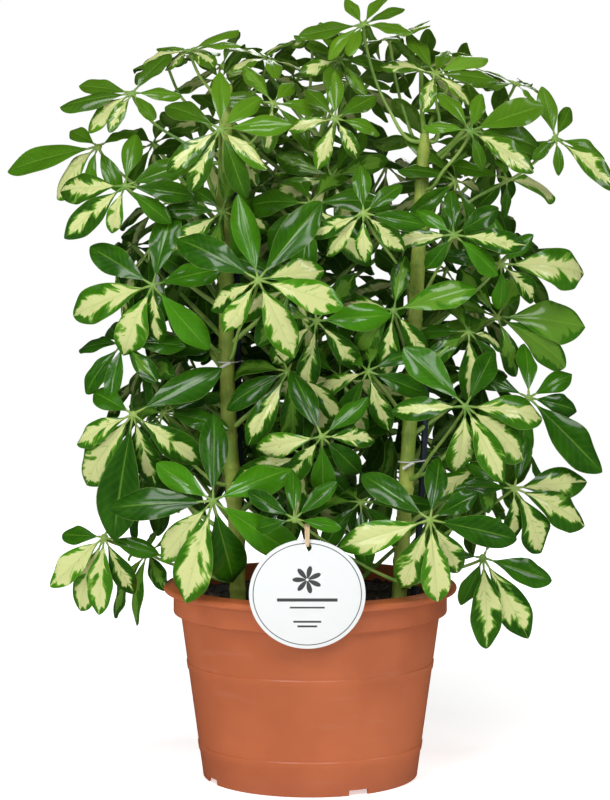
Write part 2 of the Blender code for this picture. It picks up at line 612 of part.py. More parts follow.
def build_leaf(name, hub, normal, route, leaflets):
    """One closed mesh: petiole, hub and leaflets."""
    right, up = rosette_axes(normal)
    count = len(leaflets)
    points = [hub + normal * HUB_HEIGHT]
    edges = []
    ways = [way % (2 * math.pi) for way, _, _ in leaflets]
    gaps = [(b - a) % (2 * math.pi) for a, b in zip(ways, ways[1:] + ways[:1])]
    slot = min(math.radians(HUB_SLOT), min(gaps) * SLOT_SHARE)
    for way, _, _ in leaflets:
        trio = []
        for turn in (way + slot, way - slot):
            trio.append(len(points))
            points.append(hub + HUB_RADIUS * (right * math.cos(turn) + up * math.sin(turn)))
        trio.append(len(points))
        points.append(hub - normal * HUB_DEPTH + PETIOLE_RADIUS * (right * math.cos(way) + up * math.sin(way)))
        edges.append(trio)
    faces = []
    for k, (_, sections, tip) in enumerate(leaflets):
        nxt = edges[(k + 1) % count]
        faces.append([0, edges[k][1], edges[k][0]])
        faces.append([0, edges[k][0], nxt[1]])
        faces.append([edges[k][0], edges[k][2], nxt[2]])
        faces.append([edges[k][0], nxt[2], nxt[1]])
        before = edges[k]
        for section in sections:
            after = [len(points) + i for i in range(3)]
            points += section
            for i in range(3):
                j = (i + 1) % 3
                faces.append([before[i], before[j], after[j]])
                faces.append([before[i], after[j], after[i]])
            before = after
        points.append(tip)
        for i in range(3):
            faces.append([before[i], before[(i + 1) % 3], len(points) - 1])
    ring = [trio[2] for trio in edges]
    side, other, ahead = right, up, -normal
    for k, centre in enumerate(route[1:], 1):
        onward = (route[min(k + 1, len(route) - 1)] - route[k - 1]).normalized()
        turn = ahead.rotation_difference(onward)
        side, other, ahead = turn @ side, turn @ other, onward
        after = []
        for way, _, _ in leaflets:
            after.append(len(points))
            points.append(centre + PETIOLE_RADIUS * (side * math.cos(way) + other * math.sin(way)))
        for i in range(count):
            j = (i + 1) % count
            faces.append([ring[i], ring[j], after[j]])
            faces.append([ring[i], after[j], after[i]])
        ring = after
    faces.append(ring)
    return add_node(name, points, faces, LEAF_GREEN, 0.35)


def main():
    clear_scene()
    crowd = Crowd()
    fixed = [make_pot()]
    bars = [(route, radii[0]) for route, radii in STEMS.values()] + list(STAKES.values())
    fixed.append(make_soil(bars))
    for name, (route, radii) in STEMS.items():
        fixed.append(add_node("stem_" + name, *tube(route, radii, STEM_SIDES), BARK, 0.6))
    for name, (route, radius) in STAKES.items():
        bar = tube(route, [radius] * len(route), STAKE_SIDES)
        fixed.append(add_node("support_stake_" + name, *bar, STAKE_BLACK, 0.4))
        stem, radii = STEMS[name]
        fixed.append(make_tie("stem_tie_" + name, stem, radii[1], route, radius, TIE_HEIGHTS[name]))
    fixed += [make_tag(), make_tag_loop()]
    for obj in fixed:
        crowd.add(*mesh_shape(obj), obj.name)

    dice = random.Random(11)
    grown = {}
    for name, (x, y, z, stem, *fingers) in LEAVES.items():
        hub = Vector((x, y, z))
        normal, route = place_petiole(name, hub, stem, crowd, dice)
        grown[name] = (hub, normal, route, fingers)
        bar = PETIOLE_RADIUS + PETIOLE_MARGIN
        crowd.add(*tube(route, [bar] * len(route), PETIOLE_SIDES), name)
        ends = [hub + normal * (HUB_HEIGHT + PETIOLE_MARGIN), hub - normal * HUB_DEPTH]
        crowd.add(*tube(ends, [HUB_RADIUS, bar], HUB_SIDES), name)
    for name, (hub, normal, route, fingers) in grown.items():
        leaflets = place_leaflets(hub, normal, fingers, crowd, dice, name)
        build_leaf(name, hub, normal, route, leaflets)


main()
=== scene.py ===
import math
import random

import bmesh
import bpy
import numpy as np
from mathutils import Matrix, Vector, noise


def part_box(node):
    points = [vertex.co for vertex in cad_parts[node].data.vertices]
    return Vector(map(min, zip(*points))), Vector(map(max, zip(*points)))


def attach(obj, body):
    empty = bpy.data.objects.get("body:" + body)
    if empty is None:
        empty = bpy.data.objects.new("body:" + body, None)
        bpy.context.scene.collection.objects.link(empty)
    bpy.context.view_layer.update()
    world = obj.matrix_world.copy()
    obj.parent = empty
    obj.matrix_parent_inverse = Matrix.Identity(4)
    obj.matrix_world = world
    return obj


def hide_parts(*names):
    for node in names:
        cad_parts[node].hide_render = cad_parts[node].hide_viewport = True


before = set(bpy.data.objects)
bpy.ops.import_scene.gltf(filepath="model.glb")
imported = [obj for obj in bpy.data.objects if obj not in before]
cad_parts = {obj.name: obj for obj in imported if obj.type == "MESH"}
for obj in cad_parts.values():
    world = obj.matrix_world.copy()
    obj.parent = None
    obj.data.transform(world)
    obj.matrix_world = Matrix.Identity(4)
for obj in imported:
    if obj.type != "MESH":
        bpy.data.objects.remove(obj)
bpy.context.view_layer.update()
MM = 0.001


# Nursery pot: a thin injection-moulded plastic pot in terracotta colour, with a rolled lip, a collar for
# stacking, two raised bands and four drain notches in its foot ring. Its profile is spun round the axis.
class Maths:
    """A shader value, so that a material's maths is written as an expression."""

    def __init__(self, tree, socket):
        self.tree, self.socket = tree, socket

    def _with(self, operation, *others):
        node = self.tree.nodes.new("ShaderNodeMath")
        node.operation = operation
        for slot, value in enumerate(others):
            if isinstance(value, Maths):
                self.tree.links.new(value.socket, node.inputs[slot])
            else:
                node.inputs[slot].default_value = value
        return Maths(self.tree, node.outputs[0])

    def __add__(self, other): return self._with("ADD", self, other)
    def __radd__(self, other): return self._with("ADD", other, self)
    def __sub__(self, other): return self._with("SUBTRACT", self, other)
    def __rsub__(self, other): return self._with("SUBTRACT", other, self)
    def __mul__(self, other): return self._with("MULTIPLY", self, other)
    def __rmul__(self, other): return self._with("MULTIPLY", other, self)
    def __pow__(self, other): return self._with("POWER", self, other)
    def __abs__(self): return self._with("ABSOLUTE", self)
    def __gt__(self, other): return self._with("GREATER_THAN", self, other)
    def most(self, other): return self._with("MAXIMUM", self, other)
    def sine(self): return self._with("SINE", self)
    def turn_to(self, other): return self._with("ARCTAN2", self, other)

    def rise(self, low, high):
        """0 below low, 1 above high and smooth between them; falls instead where low is above high."""
        node = self.tree.nodes.new("ShaderNodeMapRange")
        node.interpolation_type = "SMOOTHSTEP"
        self.tree.links.new(self.socket, node.inputs["Value"])
        for key, value in (("From Min", low), ("From Max", high)):
            if isinstance(value, Maths):
                self.tree.links.new(value.socket, node.inputs[key])
            else:
                node.inputs[key].default_value = value
        return Maths(self.tree, node.outputs[0])


class Finish:
    """A Principled material of one finish, with its nodes added one call at a time."""

    def __init__(self, name, roughness=0.5, metallic=0.0, **constants):
        self.material = bpy.data.materials.new(name)
        self.material.use_nodes = True
        self.tree = self.material.node_tree
        self.shader = self.tree.nodes["Principled BSDF"]
        self.shader.inputs["Roughness"].default_value = roughness
        self.shader.inputs["Metallic"].default_value = metallic
        for key, value in constants.items():
            self.shader.inputs[key.replace("_", " ")].default_value = value

    def node(self, kind, settings=None, output=0, **sockets):
        made = self.tree.nodes.new(kind)
        for key, value in (settings or {}).items():
            setattr(made, key, value)
        for key, value in sockets.items():
            self.put(made, key.replace("_", " "), value)
        return Maths(self.tree, made.outputs[output])

    def put(self, made, key, value):
        socket = made.inputs[int(key[1:])] if key[0] == "i" and key[1:].isdigit() else made.inputs[key]
        if isinstance(value, Maths):
            self.tree.links.new(value.socket, socket)
        elif isinstance(value, tuple) and len(value) == 3 and socket.type == "RGBA":
            socket.default_value = (*value, 1.0)
        else:
            socket.default_value = value

    def place(self):
        """The position on the piece that textures are laid out by."""
        return self.node("ShaderNodeTexCoord", output="Object")

    def xyz(self, vector):
        made = self.node("ShaderNodeSeparateXYZ", Vector=vector)
        split = made.socket.node
        return [Maths(self.tree, split.outputs[k]) for k in range(3)]

    def join(self, x, y, z):
        return self.node("ShaderNodeCombineXYZ", X=x, Y=y, Z=z)

    def noise(self, vector, scale, detail=3.0, roughness=0.55):
        sockets = {"Vector": vector, "Scale": scale, "Detail": detail, "Roughness": roughness}
        return self.node("ShaderNodeTexNoise", **sockets)

    def blend(self, amount, a, b):
        """Colour a where amount is 0 and b where it is 1."""
        return self.node("ShaderNodeMix", {"data_type": "RGBA"}, output=2, i0=amount, i6=a, i7=b)

    def bump(self, height, strength, distance):
        return self.node("ShaderNodeBump", Height=height, Strength=strength, Distance=distance)

    def wear(self, **sockets):
        for key, value in sockets.items():
            self.put(self.shader, key.replace("_", " "), value)
        return self.material


def start_fresh():
    if bpy.context.object and bpy.context.object.mode != "OBJECT":
        bpy.ops.object.mode_set(mode="OBJECT")
    bpy.ops.object.select_all(action="DESELECT")


def spun(name, profile, steps):
    """A profile of (radius, height) in millimetres spun once round the axis, closed at its poles."""
    start_fresh()
    outline = bpy.data.meshes.new(name)
    edges = [(k, k + 1) for k in range(len(profile) - 1)]
    outline.from_pydata([(r * MM, 0, z * MM) for r, z in profile], edges, [])
    made = bpy.data.objects.new(name, outline)
    bpy.context.scene.collection.objects.link(made)
    bpy.context.view_layer.objects.active = made
    made.select_set(True)
    bpy.ops.object.mode_set(mode="EDIT")
    bpy.ops.mesh.select_all(action="SELECT")
    bpy.ops.mesh.spin(steps=steps, angle=2 * math.pi, center=(0, 0, 0), axis=(0, 0, 1))
    bpy.ops.mesh.select_all(action="SELECT")
    bpy.ops.mesh.remove_doubles(threshold=0.00002)
    bpy.ops.mesh.normals_make_consistent(inside=False)
    bpy.ops.object.mode_set(mode="OBJECT")
    return made


def finished(piece, material, slot, *nodes, smooth=35):
    """Smooth shading up to an angle, the finish, and the piece's place in the frame."""
    start_fresh()
    bpy.context.view_layer.objects.active = piece
    piece.select_set(True)
    bpy.ops.object.shade_smooth_by_angle(angle=math.radians(smooth))
    if material:
        piece.data.materials.clear()
        piece.data.materials.append(material)
    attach(piece, "root")
    if nodes:
        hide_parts(*nodes)
    return piece


def apply_all(piece):
    start_fresh()
    bpy.context.view_layer.objects.active = piece
    piece.select_set(True)
    for modifier in list(piece.modifiers):
        bpy.ops.object.modifier_apply(modifier=modifier.name)


def arc(centre, radius, start, end, steps):
    """Points of an arc in a profile, angles in degrees from the outward direction."""
    turns = [math.radians(start + (end - start) * k / steps) for k in range(steps + 1)]
    return [(centre[0] + radius * math.cos(t), centre[1] + radius * math.sin(t)) for t in turns]


WALL_FOOT, WALL_SPREAD, WALL_HEIGHT = 88.0, 18.0, 133.0


def pot_wall(height):
    """The radius of the wall's outer face at a height, in millimetres."""
    return WALL_FOOT + WALL_SPREAD * height / WALL_HEIGHT


def raised_band(low, high, proud):
    """A profile up a band that stands proud of the wall, with sloping edges."""
    edge = 0.9
    return [
        (pot_wall(low), low), (pot_wall(low + edge) + proud, low + edge),
        (pot_wall(high - edge) + proud, high - edge), (pot_wall(high), high),
    ]


pot_profile = [(0, 0), (17.4, 0), (18, 0.6), (19.6, 5), (85.6, 5)]
pot_profile += [(86.2, 0.3), (86.6, 0), (87.6, 0), (88.1, 0.5)]
pot_profile += raised_band(22, 29, 0.7) + raised_band(89, 96, 0.7) + [(pot_wall(132.6), 132.6)]
pot_profile += [(106.2, 133.8), (106.9, 134.5), (110.8, 134.8), (111.8, 135.4), (112.1, 136.6)]
pot_profile += [(112.0, 149.6), (112.5, 151.2), (113.8, 152.0), (117.2, 152.1)]
pot_profile += arc((117.0, 155.1), 3.0, -90, 90, 8) + arc((112.6, 157.6), 2.4, 90, 180, 4)
pot_profile += [(110.0, 150), (110.0, 138.0), (109.0, 136.6), (104.4, 134.0), (104.0, 132.4)]
pot_profile += [(86.8, 8.6), (85.4, 7.2), (0, 7)]
pot = spun("nursery_pot", pot_profile, 144)
for quarter in range(4):
    bpy.ops.mesh.primitive_cube_add(size=1)
    notch = bpy.context.object
    turn = Matrix.Rotation(math.radians(-64 + 90 * quarter), 4, "Z")
    in_place = turn @ Matrix.Translation((WALL_FOOT * MM, 0, 0))
    notch.data.transform(in_place @ Matrix.Diagonal((0.009, 0.017, 0.009, 1)))
    cut = pot.modifiers.new("notch", "BOOLEAN")
    cut.object, cut.solver = notch, "EXACT"
    apply_all(pot)
    bpy.data.objects.remove(notch)

clay = Finish("terracotta_plastic", 0.42, Coat_Roughness=0.22)
spot = clay.place()
mottle = clay.noise(spot, 9.0, 4.0)
speck = clay.noise(spot, 420.0, 2.0)
height = clay.xyz(spot)[2]
rub = clay.noise(clay.node("ShaderNodeMapping", Vector=spot, Scale=(6, 6, 40)), 3.0, 3.0)
tone = clay.blend(mottle.rise(0.35, 0.68), (0.41, 0.102, 0.033), (0.50, 0.132, 0.045))
# The colour darkens over the lowest 30 mm, towards the foot.
tone = clay.blend(height.rise(0.0, 0.03) * -0.35 + 0.35, tone, (0.27, 0.078, 0.036))
tone = clay.blend(rub.rise(0.60, 0.78) * 0.18, tone, (0.50, 0.21, 0.13))
clay.wear(
    Base_Color=tone,
    Roughness=0.33 + mottle * 0.12 + rub.rise(0.55, 0.8) * 0.08,
    Coat_Weight=0.10 + rub * 0.08,
    Specular_IOR_Level=0.34,
    Normal=clay.bump(speck + mottle * 0.6, 0.06, 0.0006),
)
finished(pot, clay.material, "pot", "pot")

# Peat: dark, damp potting soil filled to just under the rim. An uneven spun disc, with loose crumbs
# lying on it.
SOIL_RADIUS, SOIL_LEVEL, SOIL_RINGS = 109.0, 146.0, 44
rings = [(SOIL_RADIUS * k / SOIL_RINGS, SOIL_LEVEL) for k in range(SOIL_RINGS, -1, -1)]
soil = spun("peat", [(0, 7.6), (86.0, 7.6), (103.2, 133.6), (109.0, 139.2)] + rings, 128)
soil_top = (SOIL_LEVEL - 0.5) * MM
for vertex in soil.data.vertices:
    if vertex.co.z > soil_top:
        broad, middling = noise.noise(vertex.co * 26) * 2.2, noise.noise(vertex.co * 90) * 1.6
        lump = broad + middling + noise.noise(vertex.co * 260) * 0.9
        fade = min(1, (0.1095 - vertex.co.to_2d().length) / 0.008)
        vertex.co.z += (lump * fade - 0.4) * MM
soil.data.update()
peat = Finish("peat", 0.95)
spot = peat.place()
grain = peat.noise(spot, 320.0, 6.0, 0.7)
clod = peat.noise(spot, 60.0, 4.0)
peat.wear(
    Base_Color=peat.blend(grain.rise(0.42, 0.72), (0.010, 0.007, 0.005), (0.050, 0.032, 0.020)),
    Roughness=0.85 + clod * 0.15,
    Normal=peat.bump(grain + clod, 0.8, 0.003),
)
finished(soil, peat.material, "soil", "soil", smooth=80)

scatter = random.Random(4)
start_fresh()
bpy.ops.mesh.primitive_ico_sphere_add(subdivisions=1, radius=1)
crumb = bpy.context.object
crumb_shape = [v.co.copy() for v in crumb.data.vertices]
crumb_faces = [list(f.vertices) for f in crumb.data.polygons]
bpy.data.objects.remove(crumb)
CRUMBS = 420
points, faces = [], []
for _ in range(CRUMBS):
    way, far = scatter.uniform(0, 2 * math.pi), 0.104 * math.sqrt(scatter.random())
    size = scatter.uniform(0.8, 2.6) * MM
    turn = Matrix.Rotation(scatter.uniform(0, 6.28), 3, "Z")
    turn = turn @ Matrix.Rotation(scatter.uniform(0, 3.1), 3, "X")
    stretch = scatter.uniform(0.7, 2.0), scatter.uniform(0.6, 1.0), scatter.uniform(0.4, 0.8)
    stretch = Matrix.Diagonal(stretch)
    at = Vector((far * math.cos(way), far * math.sin(way), 0.1468 + scatter.uniform(-0.6, 0.9) * MM))
    faces += [[k + len(points) for k in face] for face in crumb_faces]
    points += [at + size * (turn @ (stretch @ (co * scatter.uniform(0.8, 1.2)))) for co in crumb_shape]
crumbs_mesh = bpy.data.meshes.new("peat_crumbs")
crumbs_mesh.from_pydata(points, [], faces)
crumbs = bpy.data.objects.new("peat_crumbs", crumbs_mesh)
bpy.context.scene.collection.objects.link(crumbs)
bits = Finish("peat_crumbs", 0.95)
spot = bits.place()
tone = bits.noise(spot, 70.0, 2.0)
bits.wear(
    Base_Color=bits.blend(tone.rise(0.45, 0.7), (0.016, 0.010, 0.007), (0.10, 0.062, 0.036)),
    Roughness=0.8 + tone * 0.2,
    Normal=bits.bump(bits.noise(spot, 600.0), 0.6, 0.001),
)
finished(crumbs, bits.material, "soil", smooth=60)


# Stems: woody green stems with fine ribs, each along its solid's line. A ring swells round the stem at
# every old leaf scar.
def merged(node):
    """A CAD node's points and the neighbours of each, with doubled points made one."""
    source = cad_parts[node].data
    keys, points, index = {}, [], []
    for vertex in source.vertices:
        key = tuple(round(c / 2e-6) for c in vertex.co)
        if key not in keys:
            keys[key] = len(points)
            points.append(np.array(vertex.co))
        index.append(keys[key])
    near = [set() for _ in points]
    for edge in source.edges:
        a, b = (index[k] for k in edge.vertices)
        if a != b:
            near[a].add(b)
            near[b].add(a)
    return np.array(points), near


def ring_line(points, near, start):
    """Centres and radii of a tube's rings, from its first ring of points onwards."""
    seen, ring, line = set(start), set(start), []
    while ring:
        members = points[list(ring)]
        centre = members.mean(0)
        line.append((centre, float(np.linalg.norm(members - centre, axis=1).mean())))
        ring = {n for k in ring for n in near[k]} - seen
        seen |= ring
    return line


RING_GAP = 8 * MM  # between two rings of an upright bar at the least


def foot_ring(points):
    """The lowest ring of an upright bar."""
    level = sorted(range(len(points)), key=lambda k: points[k][2])
    steps = np.diff(points[level, 2])
    sides = next(n for n in range(3, len(level)) if steps[n - 1] > RING_GAP)
    return set(level[:sides])


def smooth_line(line, steps):
    """Points and a value along a smooth curve through a line of (point, value)."""
    where = np.array([p for p, _ in line])
    value = np.array([v for _, v in line])
    gaps = np.linalg.norm(np.diff(where, axis=0), axis=1)
    along = np.concatenate([[0], np.cumsum(gaps)])
    slope = np.gradient(where, along, axis=0)
    at = np.linspace(0, along[-1], steps)
    k = np.clip(np.searchsorted(along, at, side="right") - 1, 0, len(gaps) - 1)
    gap = gaps[k][:, None]
    t = ((at - along[k]) / gaps[k])[:, None]
    path = (
        (2 * t**3 - 3 * t**2 + 1) * where[k] + (t**3 - 2 * t**2 + t) * gap * slope[k]
        + (3 * t**2 - 2 * t**3) * where[k + 1] + (t**3 - t**2) * gap * slope[k + 1]
    )
    return path, np.interp(at, along, value)


def bar_mesh(path, radii, sides):
    """Points and faces of a round bar with closed, slightly domed ends."""
    ahead = np.gradient(path, axis=0)
    ahead /= np.linalg.norm(ahead, axis=1)[:, None]
    side = np.cross(ahead[0], [0.31, 0.95, 0.05])
    points, faces = [], []
    turns = np.arange(sides) * 2 * np.pi / sides
    for k, centre in enumerate(path):
        side = side - ahead[k] * side.dot(ahead[k])
        side /= np.linalg.norm(side)
        other = np.cross(ahead[k], side)
        around = np.cos(turns)[:, None] * side + np.sin(turns)[:, None] * other
        points += list(centre + radii[k] * around)
    for k in range(len(path) - 1):
        for i in range(sides):
            j = (i + 1) % sides
            faces.append((k * sides + i, k * sides + j, (k + 1) * sides + j, (k + 1) * sides + i))
    first, last = len(points), len(points) + 1
    points += [path[0] - ahead[0] * radii[0] * 0.4, path[-1] + ahead[-1] * radii[-1] * 0.4]
    end = (len(path) - 1) * sides
    for i in range(sides):
        j = (i + 1) % sides
        faces += [(first, j, i), (last, end + i, end + j)]
    return points, faces


def linked(name, points, faces):
    mesh = bpy.data.meshes.new(name)
    mesh.from_pydata([tuple(p) for p in points], [], faces)
    made = bpy.data.objects.new(name, mesh)
    bpy.context.scene.collection.objects.link(made)
    return made


bark = Finish("green_bark", 0.55)
spot = bark.place()
ribs = bark.noise(bark.node("ShaderNodeMapping", Vector=spot, Scale=(620, 620, 14)), 1.0, 4.0)
patch = bark.noise(spot, 34.0, 4.0)
grid = bark.node("ShaderNodeMapping", Vector=spot, Scale=(330, 330, 170))
lenticel = bark.node("ShaderNodeTexVoronoi", Vector=grid, Scale=1.0)
tone = bark.blend(patch.rise(0.35, 0.65), (0.17, 0.27, 0.025), (0.34, 0.42, 0.06))
tone = bark.blend(ribs.rise(0.5, 0.72) * 0.5, tone, (0.10, 0.13, 0.035))
tone = bark.blend(lenticel.rise(0.16, 0.08) * 0.35, tone, (0.42, 0.42, 0.18))
bark.wear(
    Base_Color=tone,
    Roughness=0.45 + patch * 0.2,
    Normal=bark.bump(ribs * 0.7 + patch * 0.3, 0.5, 0.0012),
)

stem_axes = {}
for stem, scar_gap in (("left", 31.0), ("right", 27.0), ("middle", 24.0)):
    points, near = merged("stem_" + stem)
    path, radii = smooth_line(ring_line(points, near, foot_ring(points)), 260)
    stem_axes[stem] = path
    run = np.concatenate([[0], np.cumsum(np.linalg.norm(np.diff(path, axis=0), axis=1))]) / MM
    offset = np.abs((run + 6 * np.sin(run * 0.045)) % scar_gap - scar_gap / 2)
    radii = radii * (1 + 0.13 * np.exp(-((offset / 1.8) ** 2)) + 0.03 * np.sin(run * 0.11))
    points, faces = bar_mesh(path, radii, 20)
    trunk = linked("stem_" + stem + "_bark", points, faces)
    finished(trunk, bark.material, "stem", "stem_" + stem, smooth=70)

# Stakes: smooth blue-black plastic plant stakes pushed into the peat behind the two tall stems.
stake_finish = Finish("stake_plastic", 0.35)
spot = stake_finish.place()
mottle = stake_finish.noise(spot, 40.0)
stake_finish.wear(
    Base_Color=stake_finish.blend(mottle.rise(0.3, 0.7), (0.010, 0.014, 0.028), (0.022, 0.030, 0.055)),
    Roughness=0.28 + mottle * 0.2,
    Normal=stake_finish.bump(stake_finish.noise(spot, 500.0), 0.08, 0.0005),
)
for side in ("left", "right"):
    node = "support_stake_" + side
    points, near = merged(node)
    path, radii = smooth_line(ring_line(points, near, foot_ring(points)), 90)
    run = np.concatenate([[0], np.cumsum(np.linalg.norm(np.diff(path, axis=0), axis=1))]) / MM
    point_end = np.clip(1 - ((run - run[-1] + 3) / 3.6).clip(0) ** 2, 0.2, 1)
    radii = radii * np.where(run % 38 < 1.6, 1.06, 1.0) * point_end
    points, faces = bar_mesh(path, radii, 18)
    finished(linked("stake_" + side, points, faces), stake_finish.material, "stake", node, smooth=50)


# Ties: thin coated wire looped round each tall stem and its stake, closed by a twist of its two ends.
def rounded_copy(node, name, levels):
    """A CAD node's shape with its doubled points made one and its facets rounded."""
    start_fresh()
    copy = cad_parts[node].copy()
    copy.data = copy.data.copy()
    for key in list(copy.keys()):
        del copy[key]
    copy.name, copy.parent = name, None
    bpy.context.scene.collection.objects.link(copy)
    shell = bmesh.new()
    shell.from_mesh(copy.data)
    bmesh.ops.remove_doubles(shell, verts=shell.verts, dist=2e-6)
    bmesh.ops.join_triangles(
        shell, faces=shell.faces, angle_face_threshold=0.7, angle_shape_threshold=1.2
    )
    shell.to_mesh(copy.data)
    shell.free()
    soften = copy.modifiers.new("round", "SUBSURF")
    soften.levels = soften.render_levels = levels
    apply_all(copy)
    return copy


wire = Finish("tie_coating", 0.45)
spot = wire.place()
mottle = wire.noise(spot, 160.0)
wire.wear(
    Base_Color=wire.blend(mottle, (0.62, 0.62, 0.56), (0.80, 0.80, 0.75)),
    Roughness=0.35 + mottle * 0.25,
    Normal=wire.bump(mottle, 0.2, 0.0004),
)
TWIST_STEPS, TWIST_TURNS = 60, 4
for side in ("left", "right"):
    tie = rounded_copy("stem_tie_" + side, "wire_tie_" + side, 2)
    finished(tie, wire.material, "tie", "stem_tie_" + side, smooth=70)
    low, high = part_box("stem_tie_" + side)
    knot = np.array([(low.x + high.x) / 2, low.y, (low.z + high.z) / 2])
    twist = np.linspace(0, 1, TWIST_STEPS)
    turns = twist * 2 * np.pi * TWIST_TURNS
    points, faces = [], []
    for phase in (0, np.pi):
        path = knot + np.stack([
            -twist * 9 * MM, -twist * 2 * MM + np.cos(turns + phase) * 0.75 * MM,
            -twist * 5 * MM + np.sin(turns + phase) * 0.75 * MM,
        ], axis=1)
        more, sides = bar_mesh(path, np.full(TWIST_STEPS, 0.62 * MM), 8)
        faces += [tuple(k + len(points) for k in face) for face in sides]
        points += more
    finished(linked("tie_twist_" + side, points, faces), wire.material, "tie", smooth=70)

# Hang tag: a round white coated card, printed with a thin ring, a small rosette of leaves and plain
# rules, and hung by a punched hole. It is a disc, punched, with its edge softened, and leant back a little.
low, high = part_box("tag")
tag_middle = (low + high) / 2
tag_radius = (high.x - low.x) / 2
CARD_THICKNESS = 0.8 * MM
HOLE_RADIUS, HOLE_HEIGHT = 3.4 * MM, 38.6 * MM
CARD_LEAN = 102  # degrees, where 90 stands it upright
start_fresh()
bpy.ops.mesh.primitive_cylinder_add(
    vertices=160, radius=tag_radius, depth=CARD_THICKNESS, end_fill_type="NGON"
)
tag = bpy.context.object
tag.name = "card_tag"
bpy.ops.mesh.primitive_cylinder_add(
    vertices=48, radius=HOLE_RADIUS, depth=4 * MM, location=(0, HOLE_HEIGHT, 0)
)
punch = bpy.context.object
cut = tag.modifiers.new("hole", "BOOLEAN")
cut.object, cut.solver = punch, "EXACT"
soften = tag.modifiers.new("edge", "BEVEL")
soften.width, soften.segments, soften.limit_method = 0.15 * MM, 2, "ANGLE"
apply_all(tag)
bpy.data.objects.remove(punch)
face_map = tag.data.uv_layers.new(name="card")
for corner in tag.data.loops:
    co = tag.data.vertices[corner.vertex_index].co
    face_map.data[corner.index].uv = (co.x / tag_radius, co.y / tag_radius)
tag.data.uv_layers.active = face_map
stand = Matrix.Translation(tag_middle) @ Matrix.Rotation(math.radians(CARD_LEAN), 4, "X")
tag.data.transform(stand)
tag.data.update()

card = Finish("coated_card", 0.38, Coat_Roughness=0.2)
x, y, _ = card.xyz(card.node("ShaderNodeUVMap", {"uv_map": "card"}))
far = (x * x + y * y) ** 0.5
ring = far.rise(0.918, 0.924) * far.rise(0.940, 0.934)
leaf_y = y - 0.27
leaf_far = (x * x + leaf_y * leaf_y) ** 0.5
petal = abs((leaf_y.turn_to(x) * 3.5).sine()) ** 0.8 * 0.26
rosette = (petal - leaf_far).rise(0.0, 0.012) * (leaf_far > 0.025)
ink = ring.most(rosette)
rules = ((-0.10, 0.52, 0.030), (-0.24, 0.30, 0.016), (-0.50, 0.24, 0.018), (-0.585, 0.17, 0.018))
for middle, half_length, half_height in rules:
    bar = abs(x).rise(half_length + 0.006, half_length - 0.006)
    ink = ink.most(bar * abs(y - middle).rise(half_height + 0.006, half_height - 0.006))
spot = card.place()
fibre = card.noise(spot, 900.0, 3.0)
cloud = card.noise(spot, 20.0)
white = card.blend(cloud, (0.73, 0.76, 0.76), (0.79, 0.81, 0.81))
card.wear(
    Base_Color=card.blend(ink * 0.94, white, (0.012, 0.014, 0.014)),
    Roughness=0.34 + cloud * 0.08 + ink * 0.1,
    Coat_Weight=0.25 + cloud * 0.1,
    Normal=card.bump(fibre, 0.05, 0.0003),
)
finished(tag, card.material, "tag", "tag", smooth=30)

raffia = Finish("raffia", 0.8)
spot = raffia.place()
strand = raffia.noise(raffia.node("ShaderNodeMapping", Vector=spot, Scale=(900, 90, 60)), 1.0, 4.0)
raffia.wear(
    Base_Color=raffia.blend(strand.rise(0.3, 0.7), (0.42, 0.29, 0.15), (0.72, 0.56, 0.34)),
    Roughness=0.7 + strand * 0.2,
    Normal=raffia.bump(strand, 0.6, 0.0006),
)
loop = rounded_copy("tag_loop", "raffia_loop", 2)
finished(loop, raffia.material, "tag_loop", "tag_loop", smooth=70)


# Compound leaves: glossy leaflets spread like fingers from the end of a long petiole. Most leaflets are
# green, and others have a cream centre with a jagged green margin. Each blade is a thin curved sheet.
def leaf_plan(node):
    """A leaf solid's hub, facing and petiole line, and each leaflet's tip with its sections. A section
    is (middle, side, lift, width)."""
    points, near = merged(node)
    apex = max(range(len(points)), key=lambda k: len(near[k]))
    rim = near[apex]
    around = points[list(rim)]
    hub = around.mean(0)
    _, _, axes = np.linalg.svd(around - hub)
    facing = axes[2] if axes[2].dot(points[apex] - hub) > 0 else -axes[2]
    hub = points[apex] - facing * 1.2 * MM
    used = {apex} | rim
    leaflets = []
    for tip in (k for k in range(len(points)) if len(near[k]) == 3):
        section, before, sections = set(near[tip]), {tip}, []
        for _ in range(4):
            used |= section
            trio = sorted(section, key=lambda k: points[k].dot(facing))
            keel, edges = points[trio[0]], [points[k] for k in trio[1:]]
            outward = points[tip] - hub
            if np.cross(facing, outward).dot(edges[0] - edges[1]) < 0:
                edges.reverse()
            middle = (edges[0] + edges[1]) / 2
            side = edges[0] - edges[1]
            width = np.linalg.norm(side)
            lift = (middle - keel) / np.linalg.norm(middle - keel)
            sections.append((middle - lift * 0.9 * MM, side / width, lift, width))
            section, before = {n for k in section for n in near[k]} - section - before - rim, section
            if len(section) != 3:
                break
        used.add(tip)
        if len(sections) >= 2:
            leaflets.append((points[tip], sections[::-1]))
    rest = set(range(len(points))) - used
    top = {k for k in rest if near[k] & rim}
    line = ring_line(points, [n & rest if k in rest else set() for k, n in enumerate(near)], top)
    return hub, facing, [p for p, _ in line], leaflets


BLADE_THICKNESS = 0.42 * MM
BLADE_STEPS = 40  # points along a blade's middle line
start_fresh()
bpy.ops.mesh.primitive_grid_add(x_subdivisions=12, y_subdivisions=18, size=2)
blank = bpy.context.object
blank_faces = [tuple(f.vertices) for f in blank.data.polygons]
blank_uv = np.array([v.co[:2] for v in blank.data.vertices])
across = np.sign(blank_uv[:, 0]) * np.abs(blank_uv[:, 0]) ** 0.9
down = (blank_uv[:, 1] + 1) / 2
down = 1 - (1 - down) ** 1.45
bpy.data.objects.remove(blank)


def blade_base(hub, sections):
    """Where a leaflet's blade begins, on the short stalk between the hub and the first section."""
    return sections[0][0] * 0.6 + hub * 0.4


